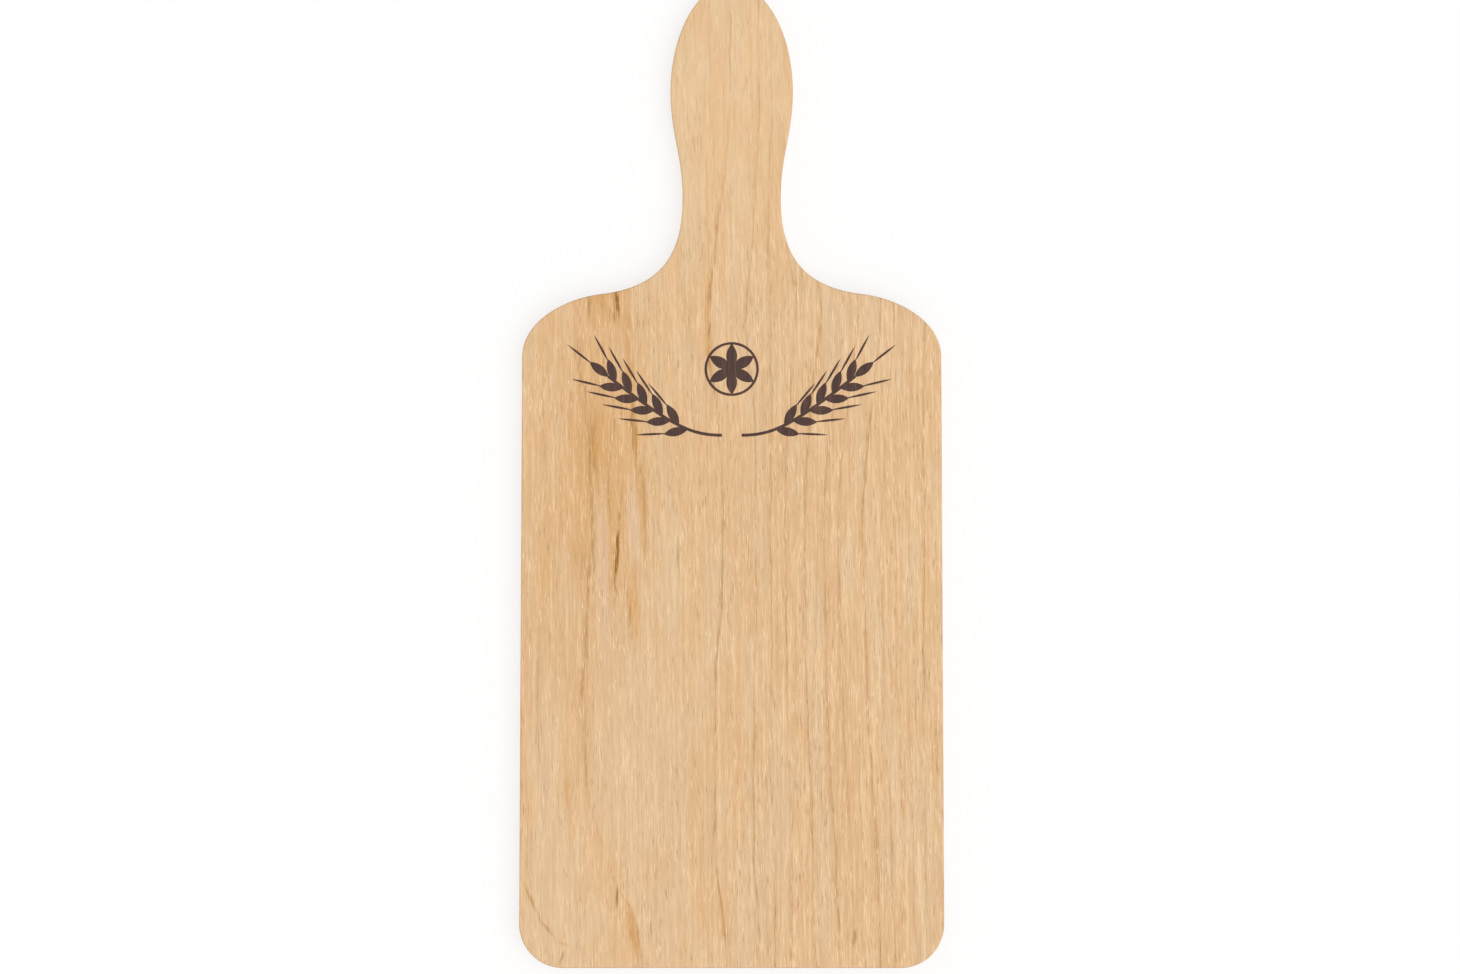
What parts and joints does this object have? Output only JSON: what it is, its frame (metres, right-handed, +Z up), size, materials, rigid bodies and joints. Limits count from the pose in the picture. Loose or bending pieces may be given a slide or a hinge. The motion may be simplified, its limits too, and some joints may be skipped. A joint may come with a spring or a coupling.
{
  "type": "spaetzle board",
  "caption": "Flat wooden spaetzle board with a waisted, round-ended handle, rounded shoulders and corners, a front edge thinned from below and a printed grain ornament.",
  "frame": {"origin": "on the underside, below the middle of the board's length and width", "axes": "+Y along the board from its front edge to the end of its handle, +X across the blade to the right, +Z up out of the printed face"},
  "size_m": [0.17, 0.4, 0.0101],
  "materials": {
    "wood": "planed and sanded pale hardwood, untreated and matt, with fine flecks, faint growth rings and a few darker mineral streaks",
    "print": "flat dark brown ink, matt, slightly broken by the grain of the wood under it"
  },
  "bodies": {
    "root": {"board": "wood", "printed_ear_left": "print", "printed_ear_right": "print", "printed_rosette": "print"}
  },
  "joints": []
}
